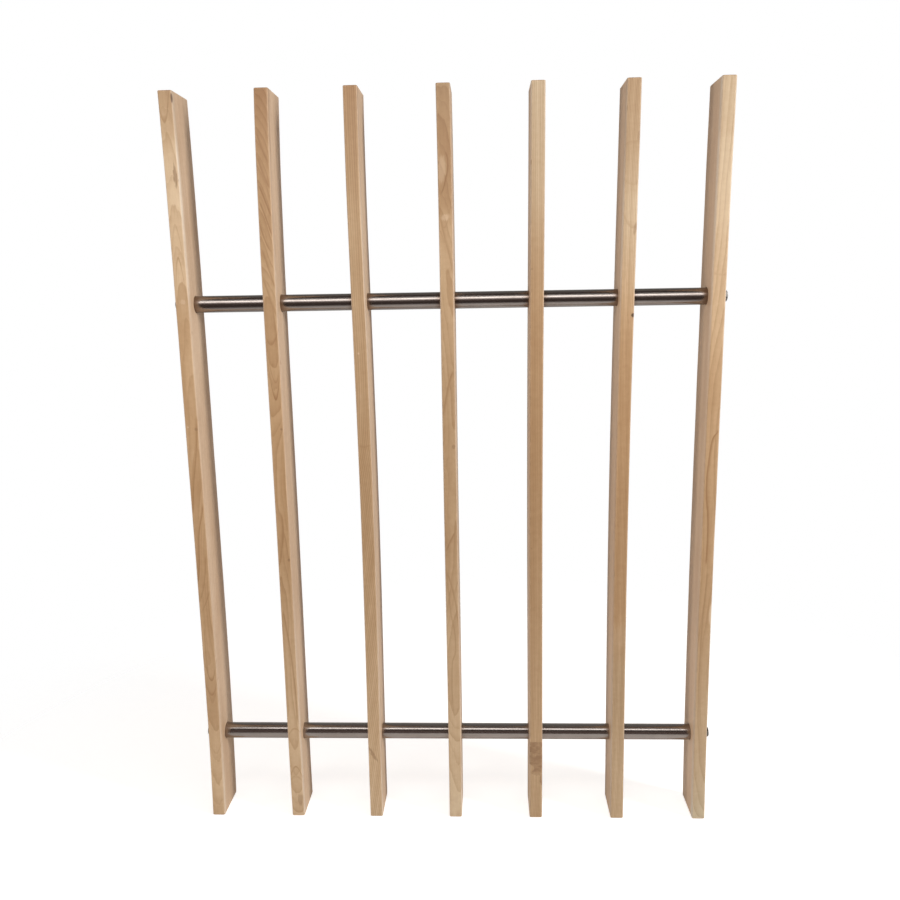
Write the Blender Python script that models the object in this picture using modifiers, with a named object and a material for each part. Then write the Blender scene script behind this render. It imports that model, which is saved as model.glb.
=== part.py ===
"""Slatted hanging rack: seven timber slats clamped side by side on two threaded steel rods.

X runs across the slats, Y from their front edges to their back edges, and Z up along them.
The origin is on the floor under the middle of the rack, which stands on the slats' lower ends.
"""
from math import radians

import bmesh
import bpy

# Driving dimensions, in metres.
SLAT_COUNT = 7
SLAT_PITCH = 0.115
SLAT_WIDTH = 0.018
SLAT_DEPTH = 0.060
SLAT_LENGTH = 1.000
ARRIS_RADIUS = 0.0018

BAR_HEIGHTS = {"lower": 0.119, "upper": 0.736}
TUBE_DIAMETER = 0.022
TUBE_WALL = 0.0015
SOCKET_DEPTH = 0.0025

ROD_DIAMETER = 0.008
ROD_PROUD_OF_NUT = 0.0004
ROD_CHAMFER = 0.0008

WASHER_DIAMETER = 0.016
WASHER_THICKNESS = 0.0016

NUT_ACROSS_FLATS = 0.013
NUT_HEIGHT = 0.0065
NUT_CORNER_CHAMFER = 0.0006
NUT_TURN_DEGREES = {
    ("lower", "left"): 8,
    ("lower", "right"): 24,
    ("upper", "left"): 37,
    ("upper", "right"): 13,
}

# Clearance that every fitted or touching pair of pieces keeps.
GAP = 0.0003
SPIN_MERGE_DISTANCE = 0.00001

# Flat facets round each turned shape.
BORE_FACETS = 24
TUBE_FACETS = 36
ROD_FACETS = 20
NUT_FACETS = 24
WASHER_FACETS = 28

# How far the outer slats' outside faces, the nuts and the rods stand from the middle.
OUTER_FACE_X = (SLAT_COUNT - 1) / 2 * SLAT_PITCH + SLAT_WIDTH / 2
WASHER_SEAT_X = OUTER_FACE_X + GAP
NUT_SEAT_X = WASHER_SEAT_X + WASHER_THICKNESS + GAP
ROD_END_X = NUT_SEAT_X + NUT_HEIGHT + ROD_PROUD_OF_NUT

# Colour (linear RGB), roughness and metallic value of each finish.
SLAT_TONES = (
    (0.62, 0.42, 0.24),
    (0.56, 0.36, 0.20),
    (0.58, 0.40, 0.23),
    (0.61, 0.42, 0.25),
    (0.52, 0.34, 0.19),
    (0.60, 0.43, 0.25),
    (0.64, 0.45, 0.26),
)
WOOD_ROUGHNESS = 0.55
TUBE_FINISH = ((0.40, 0.36, 0.33), 0.22, 1.0)
ROD_FINISH = ((0.46, 0.44, 0.42), 0.38, 1.0)
FASTENER_FINISH = ((0.34, 0.31, 0.28), 0.32, 1.0)


def clear_scene():
    """Remove every object that the open file holds."""
    for thing in list(bpy.data.objects):
        bpy.data.objects.remove(thing, do_unlink=True)


def new_collection(name):
    """Return a new collection linked to the scene."""
    collection = bpy.data.collections.new(name)
    bpy.context.scene.collection.children.link(collection)
    return collection


def add_object(name, mesh, collection, parent=None, location=(0, 0, 0), rotation=(0, 0, 0)):
    """Link one object, placed by its location and rotation under its parent."""
    thing = bpy.data.objects.new(name, mesh)
    collection.objects.link(thing)
    thing.parent = parent
    thing.location = location
    thing.rotation_euler = rotation
    return thing


def give_finish(thing, colour, roughness, metallic):
    """Give an object its own Principled material."""
    material = bpy.data.materials.new(thing.name + "_finish")
    material.use_nodes = True
    shader = material.node_tree.nodes["Principled BSDF"]
    shader.inputs["Base Color"].default_value = (*colour, 1.0)
    shader.inputs["Roughness"].default_value = roughness
    shader.inputs["Metallic"].default_value = metallic
    thing.data.materials.append(material)


def profile_mesh(name, points, closed):
    """Return a mesh of edges through (radius, height) points, ready for a Screw modifier."""
    edges = [(i, i + 1) for i in range(len(points) - 1)]
    if closed:
        edges.append((len(points) - 1, 0))
    mesh = bpy.data.meshes.new(name)
    mesh.from_pydata([(radius, 0, height) for radius, height in points], edges, [])
    return mesh


def add_spin(thing, steps):
    """Turn an object's profile once round its own Z axis."""
    spin = thing.modifiers.new("spin", "SCREW")
    spin.axis = "Z"
    spin.angle = radians(360)
    spin.steps = steps
    spin.render_steps = steps
    spin.use_merge_vertices = True
    spin.merge_threshold = SPIN_MERGE_DISTANCE
    spin.use_smooth_shade = True


def ring_points(outer_radius, inner_radius, length):
    """Return the closed section of a plain ring that stands on height 0."""
    return [
        (outer_radius, length),
        (outer_radius, 0),
        (inner_radius, 0),
        (inner_radius, length),
    ]


def evaluated_mesh(thing, name):
    """Return a new mesh of an object with its modifiers applied."""
    bpy.context.view_layer.update()
    graph = bpy.context.evaluated_depsgraph_get()
    mesh = bpy.data.meshes.new_from_object(thing.evaluated_get(graph))
    mesh.name = name
    return mesh


def as_cutter(thing):
    """Show an object as a wire guide that only cuts other objects."""
    thing.display_type = "WIRE"
    thing.hide_render = True


def slat_x(index):
    """Return the middle of a slat, counted from 0 at the left."""
    return (index - (SLAT_COUNT - 1) / 2) * SLAT_PITCH


def bar_bore_cutter(bar, axis, cutters):
    """Make the stepped bore of one bar: rod holes through the slats, tube sockets in their faces."""
    hole_radius = ROD_DIAMETER / 2 + GAP
    socket_radius = TUBE_DIAMETER / 2 + GAP
    web_half = SLAT_WIDTH / 2 - SOCKET_DEPTH
    end = ROD_END_X + GAP
    points = [(0, end), (hole_radius, end)]
    for index in reversed(range(1, SLAT_COUNT)):
        right = slat_x(index) - web_half
        left = slat_x(index - 1) + web_half
        points += [(hole_radius, right), (socket_radius, right), (socket_radius, left), (hole_radius, left)]
    points += [(hole_radius, -end), (0, -end)]
    cutter = add_object(
        bar + "_bore_cutter", profile_mesh("bore_section", points, False), cutters, axis, rotation=(0, radians(90), 0)
    )
    add_spin(cutter, BORE_FACETS)
    as_cutter(cutter)
    return cutter


def add_slat(index, rack, origin, bores):
    """Make one slat: a planed batten with eased edges, bored and socketed for both bars."""
    body = bmesh.new()
    bmesh.ops.create_cube(body, size=1.0)
    bmesh.ops.scale(body, vec=(SLAT_WIDTH, SLAT_DEPTH, SLAT_LENGTH), verts=body.verts)
    mesh = bpy.data.meshes.new("slat_body")
    body.to_mesh(mesh)
    body.free()
    slat = add_object("slat_%d" % (index + 1), mesh, rack, origin, (slat_x(index), 0, SLAT_LENGTH / 2))
    easing = slat.modifiers.new("eased_edges", "BEVEL")
    easing.width = ARRIS_RADIUS
    easing.segments = 3
    for bore in bores:
        cut = slat.modifiers.new(bore.name, "BOOLEAN")
        cut.operation = "DIFFERENCE"
        cut.object = bore
    give_finish(slat, SLAT_TONES[index], WOOD_ROUGHNESS, 0.0)


def add_spacers(bar, axis, rack):
    """Make the tube spacers of one bar, each seated in the sockets of the two slats beside it."""
    length = SLAT_PITCH - SLAT_WIDTH + 2 * (SOCKET_DEPTH - GAP)
    outer = TUBE_DIAMETER / 2
    for bay in range(SLAT_COUNT - 1):
        mesh = profile_mesh("spacer_section", ring_points(outer, outer - TUBE_WALL, length), True)
        left_end = slat_x(bay) + SLAT_WIDTH / 2 - SOCKET_DEPTH + GAP
        name = "%s_spacer_%d" % (bar, bay + 1)
        spacer = add_object(name, mesh, rack, axis, (left_end, 0, 0), (0, radians(90), 0))
        add_spin(spacer, TUBE_FACETS)
        give_finish(spacer, *TUBE_FINISH)


def add_rod(bar, axis, rack):
    """Make the threaded rod of one bar as a plain round bar with chamfered ends."""
    radius = ROD_DIAMETER / 2
    points = [
        (0, ROD_END_X),
        (radius - ROD_CHAMFER, ROD_END_X),
        (radius, ROD_END_X - ROD_CHAMFER),
        (radius, -ROD_END_X + ROD_CHAMFER),
        (radius - ROD_CHAMFER, -ROD_END_X),
        (0, -ROD_END_X),
    ]
    rod = add_object(bar + "_rod", profile_mesh("rod_section", points, False), rack, axis, rotation=(0, radians(90), 0))
    add_spin(rod, ROD_FACETS)
    give_finish(rod, *ROD_FINISH)


def nut_blank_points():
    """Return the closed section of a plain nut: its bore, and a body chamfered at both ends."""
    bore = ROD_DIAMETER / 2 + GAP
    corner = NUT_ACROSS_FLATS / 2 / 0.8660 + GAP
    shoulder = NUT_ACROSS_FLATS / 2 - GAP
    return [
        (bore, NUT_HEIGHT),
        (shoulder, NUT_HEIGHT),
        (corner, NUT_HEIGHT - NUT_CORNER_CHAMFER),
        (corner, NUT_CORNER_CHAMFER),
        (shoulder, 0),
        (bore, 0),
    ]


def make_nut_mesh(cutters):
    """Return the nut's mesh, seated on height 0: a hexagonal bar trimmed to the turned blank."""
    blank = add_object("nut_blank_cutter", profile_mesh("nut_section", nut_blank_points(), True), cutters)
    add_spin(blank, NUT_FACETS)
    as_cutter(blank)
    bar = bmesh.new()
    corner = NUT_ACROSS_FLATS / 2 / 0.8660
    bar_length = NUT_HEIGHT + 2 * GAP
    bmesh.ops.create_cone(bar, cap_ends=True, segments=6, radius1=corner, radius2=corner, depth=bar_length)
    bmesh.ops.translate(bar, vec=(0, 0, NUT_HEIGHT / 2), verts=bar.verts)
    mesh = bpy.data.meshes.new("hexagonal_bar")
    bar.to_mesh(mesh)
    bar.free()
    hexagon = add_object("hexagonal_bar_guide", mesh, cutters)
    trim = hexagon.modifiers.new("trim", "BOOLEAN")
    trim.operation = "INTERSECT"
    trim.object = blank
    nut_mesh = evaluated_mesh(hexagon, "nut_body")
    nut_mesh.shade_smooth()
    nut_mesh.set_sharp_from_angle(angle=radians(25))
    as_cutter(hexagon)
    return nut_mesh


def add_end_fasteners(bar, side, axis, rack, nut_mesh):
    """Make the washer and the nut that clamp one end of a bar."""
    direction = 1 if side == "right" else -1
    facing = radians(90) * direction
    washer_mesh = profile_mesh(
        "washer_section", ring_points(WASHER_DIAMETER / 2, ROD_DIAMETER / 2 + GAP, WASHER_THICKNESS), True
    )
    seat = (WASHER_SEAT_X * direction, 0, 0)
    washer = add_object("%s_washer_%s" % (bar, side), washer_mesh, rack, axis, seat, (0, facing, 0))
    add_spin(washer, WASHER_FACETS)
    give_finish(washer, *FASTENER_FINISH)

    turn = radians(NUT_TURN_DEGREES[(bar, side)])
    seat = (NUT_SEAT_X * direction, 0, 0)
    nut = add_object("%s_nut_%s" % (bar, side), nut_mesh.copy(), rack, axis, seat)
    nut.rotation_mode = "ZYX"
    nut.rotation_euler = (0, facing, turn)
    give_finish(nut, *FASTENER_FINISH)


def build_rack():
    """Build the whole rack."""
    clear_scene()
    rack = new_collection("slatted_hanging_rack")
    cutters = new_collection("cutters")
    origin = add_object("rack_origin", None, rack)
    axes = {bar: add_object(bar + "_bar_axis", None, rack, origin, (0, 0, z)) for bar, z in BAR_HEIGHTS.items()}
    bores = [bar_bore_cutter(bar, axis, cutters) for bar, axis in axes.items()]
    nut_mesh = make_nut_mesh(cutters)
    for index in range(SLAT_COUNT):
        add_slat(index, rack, origin, bores)
    for bar, axis in axes.items():
        add_spacers(bar, axis, rack)
        add_rod(bar, axis, rack)
        for side in ("left", "right"):
            add_end_fasteners(bar, side, axis, rack, nut_mesh)
    bpy.context.view_layer.update()


build_rack()
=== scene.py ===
"""Slatted hanging rack: seven ash slats, held apart by steel tubes and clamped on two threaded rods.

Metres throughout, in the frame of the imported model: X across the slats, Y from front to back, Z up.
"""

from math import cos, pi, radians, sin, tan

import bmesh
import bpy
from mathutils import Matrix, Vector, noise


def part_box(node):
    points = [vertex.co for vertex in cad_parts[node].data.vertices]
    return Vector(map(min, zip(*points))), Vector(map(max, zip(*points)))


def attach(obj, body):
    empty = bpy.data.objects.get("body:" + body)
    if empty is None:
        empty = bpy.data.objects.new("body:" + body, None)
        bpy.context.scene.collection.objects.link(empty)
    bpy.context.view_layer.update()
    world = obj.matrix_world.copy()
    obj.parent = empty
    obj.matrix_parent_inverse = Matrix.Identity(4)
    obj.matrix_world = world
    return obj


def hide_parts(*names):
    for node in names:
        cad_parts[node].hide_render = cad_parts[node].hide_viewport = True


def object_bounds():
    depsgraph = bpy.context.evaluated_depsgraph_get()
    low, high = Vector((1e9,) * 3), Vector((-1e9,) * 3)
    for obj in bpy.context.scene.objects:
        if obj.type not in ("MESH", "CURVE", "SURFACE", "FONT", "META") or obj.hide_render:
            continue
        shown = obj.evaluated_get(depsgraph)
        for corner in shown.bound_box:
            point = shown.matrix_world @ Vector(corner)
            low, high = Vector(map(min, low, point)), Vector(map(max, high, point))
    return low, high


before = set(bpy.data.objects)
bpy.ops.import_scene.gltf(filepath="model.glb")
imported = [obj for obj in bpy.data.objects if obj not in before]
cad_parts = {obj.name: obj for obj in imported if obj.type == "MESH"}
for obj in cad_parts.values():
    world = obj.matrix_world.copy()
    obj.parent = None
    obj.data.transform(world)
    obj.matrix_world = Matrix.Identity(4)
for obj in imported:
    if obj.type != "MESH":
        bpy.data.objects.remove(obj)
cad_low, cad_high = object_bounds()

# ---------------------------------------------------------------------------------------------
# SLATS. Seven battens of pale ash, each ripped from a different board, planed, cut square and
# rubbed down along every arris, then wiped with matt oil. Each is bored right through for the two
# rods, with a shallow socket round the bore wherever a tube meets the slat.

SLATS = ["slat_%d" % number for number in range(1, 8)]
BARS = ["lower", "upper"]
MM = 0.001

ARRIS_RADIUS = 1.9 * MM
ARRIS_UNEVENNESS = 0.7 * MM
END_ROUNDING = 1.3 * MM
SECTION_STEP = 6 * MM
RING_STEP = 8 * MM
FIT_GAP = 0.3 * MM
SOCKET_CHAMFER = 0.5 * MM
TURNED_SIDES = 96
ARC_STEPS = 5


def box_centre(node):
    """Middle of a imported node's box."""
    low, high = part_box(node)
    return (low + high) / 2


def box_size(node):
    """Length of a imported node's box along X, Y and Z."""
    low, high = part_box(node)
    return high - low


SLAT_SIZE = box_size("slat_1")
SLAT_CENTRE_Z = box_centre("slat_1").z
BAR_AXIS = {bar: box_centre(bar + "_rod") for bar in BARS}
ROD_RADIUS = box_size("lower_rod").y / 2
TUBE_RADIUS = box_size("lower_spacer_1").y / 2
SOCKET_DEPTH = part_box("slat_1")[1].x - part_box("lower_spacer_1")[0].x + FIT_GAP


def mesh_from_rings(name, rings, capped=True, sharp_degrees=35):
    """Skin rings of points with quads. The chain ends in flat caps, or else closes on itself."""
    shape = bmesh.new()
    loops = [[shape.verts.new(point) for point in ring] for ring in rings]
    pairs = list(zip(loops, loops[1:]))
    if capped:
        shape.faces.new(loops[0])
        shape.faces.new(loops[-1])
    else:
        pairs.append((loops[-1], loops[0]))
    for first, second in pairs:
        for i, corner in enumerate(first):
            j = (i + 1) % len(first)
            shape.faces.new((corner, first[j], second[j], second[i]))
    bmesh.ops.recalc_face_normals(shape, faces=shape.faces)
    mesh = bpy.data.meshes.new(name)
    shape.to_mesh(mesh)
    shape.free()
    mesh.shade_smooth()
    mesh.set_sharp_from_angle(angle=radians(sharp_degrees))
    return mesh


def turned_ring(along, radius):
    """Circle of points about the X axis."""
    angles = [2 * pi * i / TURNED_SIDES for i in range(TURNED_SIDES)]
    return [(along, radius * cos(angle), radius * sin(angle)) for angle in angles]


def show(name, mesh, place):
    """Put a mesh in the scene as a piece whose own origin is at place."""
    piece = bpy.data.objects.new(name, mesh)
    piece.location = place
    bpy.context.scene.collection.objects.link(piece)
    return piece


def fit_piece(piece, node, material):
    """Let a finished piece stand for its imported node, ride on the rack and take its finish."""
    piece.data.materials.clear()
    piece.data.materials.append(material)
    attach(piece, "root")
    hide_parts(node)


def slat_section(half_width, half_depth, radii):
    """Rectangle with a rounded arris of its own radius at each corner, as points all the way round."""
    corners = [(1, 1), (-1, 1), (-1, -1), (1, -1)]
    points = []
    for turn, ((side_x, side_y), radius) in enumerate(zip(corners, radii)):
        centre = Vector((side_x * (half_width - radius), side_y * (half_depth - radius)))
        for step in range(ARC_STEPS + 1):
            angle = radians(90 * turn + 90 * step / ARC_STEPS)
            points.append(centre + radius * Vector((cos(angle), sin(angle))))
        next_radius = radii[(turn + 1) % 4]
        next_x, next_y = corners[(turn + 1) % 4]
        next_centre = Vector((next_x * (half_width - next_radius), next_y * (half_depth - next_radius)))
        arc_end = radians(90 * (turn + 1))
        start = points[-1]
        end = next_centre + next_radius * Vector((cos(arc_end), sin(arc_end)))
        full_side = 2 * half_width if turn % 2 == 0 else 2 * half_depth
        spans = round(full_side / SECTION_STEP)
        points += [start.lerp(end, step / spans) for step in range(1, spans)]
    return points


def strayed(height, bow):
    """How far a slat strays sideways: not at all at the bars, and bow at its head, middle and foot."""
    low, high = [BAR_AXIS[bar].z - SLAT_CENTRE_Z for bar in BARS]
    marks = [SLAT_SIZE.z / 2, (low + high) / 2, -SLAT_SIZE.z / 2]
    total = 0
    for i, mark in enumerate(marks):
        share = bow[i] * MM
        for other in [low, high] + marks[:i] + marks[i + 1:]:
            share *= (height - other) / (mark - other)
        total += share
    return total


def slat_blank(name, seed, bow):
    """Batten before boring, a little bowed, with hand-rubbed arrises that vary in radius along it."""
    half_width, half_depth, half_length = SLAT_SIZE / 2
    end_angles = [radians(angle) for angle in (90, 67.5, 45, 22.5, 0)]
    foot = [(END_ROUNDING * (1 - sin(a)) - half_length, END_ROUNDING * (1 - cos(a))) for a in end_angles]
    straight = SLAT_SIZE.z - 2 * END_ROUNDING
    spans = round(straight / RING_STEP)
    middle = [(straight * (step / spans - 0.5), 0.0) for step in range(1, spans)]
    head = [(-height, inset) for height, inset in reversed(foot)]
    rings = []
    for height, inset in foot + middle + head:
        rub = [noise.noise(Vector((height * 16, corner * 7.3, seed * 3.1))) for corner in range(4)]
        radii = [ARRIS_RADIUS + ARRIS_UNEVENNESS * amount for amount in rub]
        section = slat_section(half_width - inset, half_depth - inset, radii)
        rings.append([(x + strayed(height, bow), y, height) for x, y in section])
    return mesh_from_rings(name, rings)


def bore_cutter(place, inner_left, inner_right):
    """Cutter for one bar through one slat: the rod's bore, and a socket in each side a tube meets."""
    half = SLAT_SIZE.x / 2
    clear = 1 * MM
    bore = ROD_RADIUS + FIT_GAP
    socket = TUBE_RADIUS + FIT_GAP
    rings = []
    for side, socketed in ((-1, inner_left), (1, inner_right)):
        if socketed:
            profile = [(half + clear, socket + SOCKET_CHAMFER + clear), (half - SOCKET_CHAMFER, socket),
                       (half - SOCKET_DEPTH, socket), (half - SOCKET_DEPTH, bore)]
        else:
            profile = [(half + clear, bore)]
        if side == 1:
            profile.reverse()
        rings += [turned_ring(side * along, radius) for along, radius in profile]
    return show("bore_cutter", mesh_from_rings("bore_cutter", rings), place)


def bored(slat, number):
    """The slat's mesh after both bores are cut."""
    cutters = []
    for bar in BARS:
        place = Vector((slat.location.x, BAR_AXIS[bar].y, BAR_AXIS[bar].z))
        cutter = bore_cutter(place, number > 1, number < len(SLATS))
        cut = slat.modifiers.new("bore", "BOOLEAN")
        cut.operation = "DIFFERENCE"
        cut.solver = "EXACT"
        cut.object = cutter
        cutters.append(cutter)
    bpy.context.view_layer.update()
    mesh = bpy.data.meshes.new_from_object(slat.evaluated_get(bpy.context.evaluated_depsgraph_get()))
    slat.modifiers.clear()
    for cutter in cutters:
        bpy.data.objects.remove(cutter)
    mesh.shade_smooth()
    mesh.set_sharp_from_angle(angle=radians(35))
    return mesh


def add_node(tree, kind, *values, settings=None, **named):
    """Place a shader node. A value is a number, or another node's socket to join it to."""
    node = tree.nodes.new("ShaderNode" + kind)
    for setting, choice in (settings or {}).items():
        setattr(node, setting, choice)
    slots = list(enumerate(values)) + [(name.replace("_", " "), value) for name, value in named.items()]
    for slot, value in slots:
        if isinstance(value, bpy.types.NodeSocket):
            tree.links.new(value, node.inputs[slot])
        elif value is not None:
            node.inputs[slot].default_value = value
    return node


def calc(tree, operation, *values):
    """Result of one step of arithmetic."""
    return add_node(tree, "Math", *values, settings={"operation": operation}).outputs[0]


def move(tree, operation, first, second):
    """Result of one step of arithmetic on places."""
    return add_node(tree, "VectorMath", first, second, settings={"operation": operation}).outputs[0]


def fade(tree, value, start, end, low=0.0, high=1.0):
    """Smooth change from low to high as value goes from start to end."""
    smooth = {"interpolation_type": "SMOOTHSTEP"}
    return add_node(tree, "MapRange", value, start, end, low, high, settings=smooth).outputs[0]


def cloudy(tree, place, scale, detail=2.0, seed=0.0):
    """Soft random value over the surface, from 0 to 1."""
    settings = {"noise_dimensions": "4D"}
    noisy = add_node(tree, "TexNoise", Vector=place, W=seed, Scale=scale, Detail=detail, settings=settings)
    return noisy.outputs[0]


def tint(tree, amount, first, second, way="MIX"):
    """Colour between first and second."""
    settings = {"data_type": "RGBA", "blend_type": way}
    mixed = add_node(tree, "Mix", amount, None, None, None, None, None, first, second, settings=settings)
    return mixed.outputs[2]


def start_group(name, inputs, outputs):
    """New node group. inputs gives each socket's kind and resting value; every output is a number."""
    tree = bpy.data.node_groups.new(name, "ShaderNodeTree")
    for socket, (kind, value) in inputs.items():
        made = tree.interface.new_socket(name=socket, in_out="INPUT", socket_type="NodeSocket" + kind)
        made.default_value = value
    for socket in outputs:
        tree.interface.new_socket(name=socket, in_out="OUTPUT", socket_type="NodeSocketFloat")
    return tree, tree.nodes.new("NodeGroupInput").outputs, tree.nodes.new("NodeGroupOutput").inputs


def use_group(tree, group, **named):
    """Place a node group in a material and give its outputs."""
    return add_node(tree, "Group", settings={"node_tree": group}, **named).outputs


def make_growth_rings():
    """Yearly rings round the tree's heart: each darkens slowly to late wood, then breaks off sharply."""
    inputs = {"Place": ("Vector", (0, 0, 0)), "Heart X": ("Float", 0.0), "Heart Y": ("Float", -0.05),
              "Ring Width": ("Float", 0.002), "Ripple": ("Float", 0.5), "Seed": ("Float", 0.0)}
    tree, given, result = start_group("growth_rings", inputs, ["Late Wood", "Ring Tone"])
    x, y, _ = add_node(tree, "SeparateXYZ", given["Place"]).outputs
    from_x = calc(tree, "SUBTRACT", x, given["Heart X"])
    from_y = calc(tree, "SUBTRACT", y, given["Heart Y"])
    squares = [calc(tree, "MULTIPLY", gap, gap) for gap in (from_x, from_y)]
    from_heart = calc(tree, "SQRT", calc(tree, "ADD", *squares))
    rings = calc(tree, "DIVIDE", from_heart, given["Ring Width"])
    drawn_out = move(tree, "MULTIPLY", given["Place"], (1, 1, 0.2))
    wander = calc(tree, "SUBTRACT", cloudy(tree, drawn_out, 70, 3, given["Seed"]), 0.5)
    rings = calc(tree, "ADD", rings, calc(tree, "MULTIPLY", wander, given["Ripple"]))
    through = calc(tree, "FRACT", rings)
    darkening = calc(tree, "POWER", through, 2.6)
    tree.links.new(calc(tree, "MULTIPLY", darkening, fade(tree, through, 1.0, 0.93)), result["Late Wood"])
    year = calc(tree, "ADD", calc(tree, "FLOOR", rings), given["Seed"])
    tone = add_node(tree, "TexWhiteNoise", W=year, settings={"noise_dimensions": "1D"}).outputs[0]
    tree.links.new(tone, result["Ring Tone"])
    return tree


def make_wood_fibre():
    """Fibres and open pores drawn out along the slat, with broad soft clouds of colour."""
    inputs = {"Place": ("Vector", (0, 0, 0)), "Seed": ("Float", 0.0)}
    tree, given, result = start_group("wood_fibre", inputs, ["Streaks", "Pores", "Cloud", "Mottle"])
    long_fibre = move(tree, "MULTIPLY", given["Place"], (1, 1, 0.018))
    short_pore = move(tree, "MULTIPLY", given["Place"], (1, 1, 0.045))
    broad = cloudy(tree, long_fibre, 420, 3, given["Seed"])
    fine = cloudy(tree, long_fibre, 2100, 2, given["Seed"])
    streaks = calc(tree, "MULTIPLY_ADD", fine, 0.4, calc(tree, "MULTIPLY", broad, 0.6))
    tree.links.new(streaks, result["Streaks"])
    tree.links.new(fade(tree, cloudy(tree, short_pore, 1900, 1, given["Seed"]), 0.60, 0.72), result["Pores"])
    tree.links.new(cloudy(tree, move(tree, "MULTIPLY", given["Place"], (1, 1, 0.3)), 26, 3, given["Seed"]),
                   result["Cloud"])
    tree.links.new(cloudy(tree, move(tree, "MULTIPLY", given["Place"], (1, 1, 1.5)), 120, 2, given["Seed"]),
                   result["Mottle"])
    return tree


def make_eased_arris():
    """Masks for a long square bar: its rubbed arrises, its sawn ends and its two wide faces."""
    inputs = {"Place": ("Vector", (0, 0, 0)), "Half Size": ("Vector", (0.009, 0.03, 0.5)),
              "Reach": ("Float", 0.003)}
    tree, given, result = start_group("eased_arris", inputs, ["Arris", "Sawn End", "Wide Face"])
    mirrored = add_node(tree, "VectorMath", given["Place"], settings={"operation": "ABSOLUTE"}).outputs[0]
    outside = move(tree, "SUBTRACT", mirrored, given["Half Size"])
    outside = add_node(tree, "SeparateXYZ", outside).outputs
    gaps = [calc(tree, "DIVIDE", gap, given["Reach"]) for gap in outside]
    near = [fade(tree, gap, -1.0, 0.0) for gap in gaps]
    pairs = [calc(tree, "MULTIPLY", near[a], near[b]) for a, b in ((0, 1), (1, 2), (0, 2))]
    arris = calc(tree, "MAXIMUM", calc(tree, "MAXIMUM", pairs[0], pairs[1]), pairs[2])
    tree.links.new(arris, result["Arris"])
    tree.links.new(fade(tree, gaps[2], -0.35, -0.1), result["Sawn End"])
    tree.links.new(fade(tree, gaps[0], -0.6, -0.1), result["Wide Face"])
    return tree


def make_ring_edge():
    """Where one ring runs out on the surface: dark and crisp on one side, fading away on the other."""
    inputs = {"Distance": ("Float", 0.0), "Fade": ("Float", 0.003), "Foot": ("Float", -1.0),
              "Head": ("Float", 1.0), "Height": ("Float", 0.0)}
    tree, given, result = start_group("ring_edge", inputs, ["Line"])
    part = calc(tree, "DIVIDE", given["Distance"], given["Fade"])
    tail = calc(tree, "POWER", fade(tree, part, 1.0, 0.0), 1.5)
    edge = calc(tree, "MULTIPLY", tail, fade(tree, part, -0.22, 0.05))
    dying_out = 12 * MM
    above = fade(tree, calc(tree, "SUBTRACT", given["Height"], given["Foot"]), 0.0, dying_out)
    below = fade(tree, calc(tree, "SUBTRACT", given["Head"], given["Height"]), 0.0, dying_out)
    tree.links.new(calc(tree, "MULTIPLY", edge, calc(tree, "MULTIPLY", above, below)), result["Line"])
    return tree


def make_blemish():
    """Patch with a ragged outline: a knot, a stain or a bruise."""
    inputs = {"Place": ("Vector", (0, 0, 0)), "Centre": ("Vector", (0, 0, 0)),
              "Reach": ("Vector", (0.003, 0.003, 0.003)), "Slant": ("Float", 0.0), "Ragged": ("Float", 0.3)}
    tree, given, result = start_group("blemish", inputs, ["Patch"])
    away = move(tree, "SUBTRACT", given["Place"], given["Centre"])
    x, y, z = add_node(tree, "SeparateXYZ", away).outputs
    straightened = calc(tree, "SUBTRACT", x, calc(tree, "MULTIPLY", z, given["Slant"]))
    scaled = move(tree, "DIVIDE", add_node(tree, "CombineXYZ", straightened, y, z).outputs[0], given["Reach"])
    length = add_node(tree, "VectorMath", scaled, settings={"operation": "LENGTH"}).outputs[1]
    lumpy = move(tree, "MULTIPLY", given["Place"], (1, 1, 0.5))
    ragged = calc(tree, "SUBTRACT", cloudy(tree, lumpy, 330, 3), 0.5)
    along_grain = move(tree, "MULTIPLY", given["Place"], (1, 1, 0.1))
    split = calc(tree, "MULTIPLY", calc(tree, "SUBTRACT", cloudy(tree, along_grain, 900, 2), 0.5), 1.6)
    rough_edge = calc(tree, "MULTIPLY", calc(tree, "ADD", ragged, split), given["Ragged"])
    tree.links.new(fade(tree, calc(tree, "ADD", length, rough_edge), 1.25, 0.65), result["Patch"])
    return tree


GROWTH_RINGS = make_growth_rings()
WOOD_FIBRE = make_wood_fibre()
EASED_ARRIS = make_eased_arris()
RING_EDGE = make_ring_edge()
BLEMISH = make_blemish()

# The paler a place is, the more its green and blue gain on its red, by these powers: the grain's own
# paler patches wash out this way, and so do the painted light and sheen along the fronts. Where the
# fronts are painted greyer for sheen and floor light, they gain by these shares as well.
TONE_AND_SHEEN_POWERS = (1.0, 1.4, 1.85)
PAINTED_GREYING_SHARES = (0.0, 0.45, 1.0)
PALE_ASH = (0.59, 0.378, 0.202, 1)
LATE_ASH = (0.39, 0.205, 0.088, 1)
WIDE_FACE_ASH = (0.61, 0.445, 0.30, 1)
RUBBED_ASH = (0.72, 0.50, 0.31, 1)
SAWN_END_ASH = (0.36, 0.205, 0.10, 1)
KNOT_BROWN = (0.10, 0.05, 0.022, 1)
STAIN_BROWN = (0.30, 0.172, 0.088, 1)
FRESH_WOOD = (0.80, 0.62, 0.43, 1)
RING_SWING = 0.10
STREAK_SWING = 0.26
MOTTLE_SWING = 0.14
ARCH_WANDER = 12 * MM
ARRIS_REACH = 3 * MM
MARK_DEPTH = 3.2 * MM
GRAIN_RELIEF = 0.12 * MM
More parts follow.
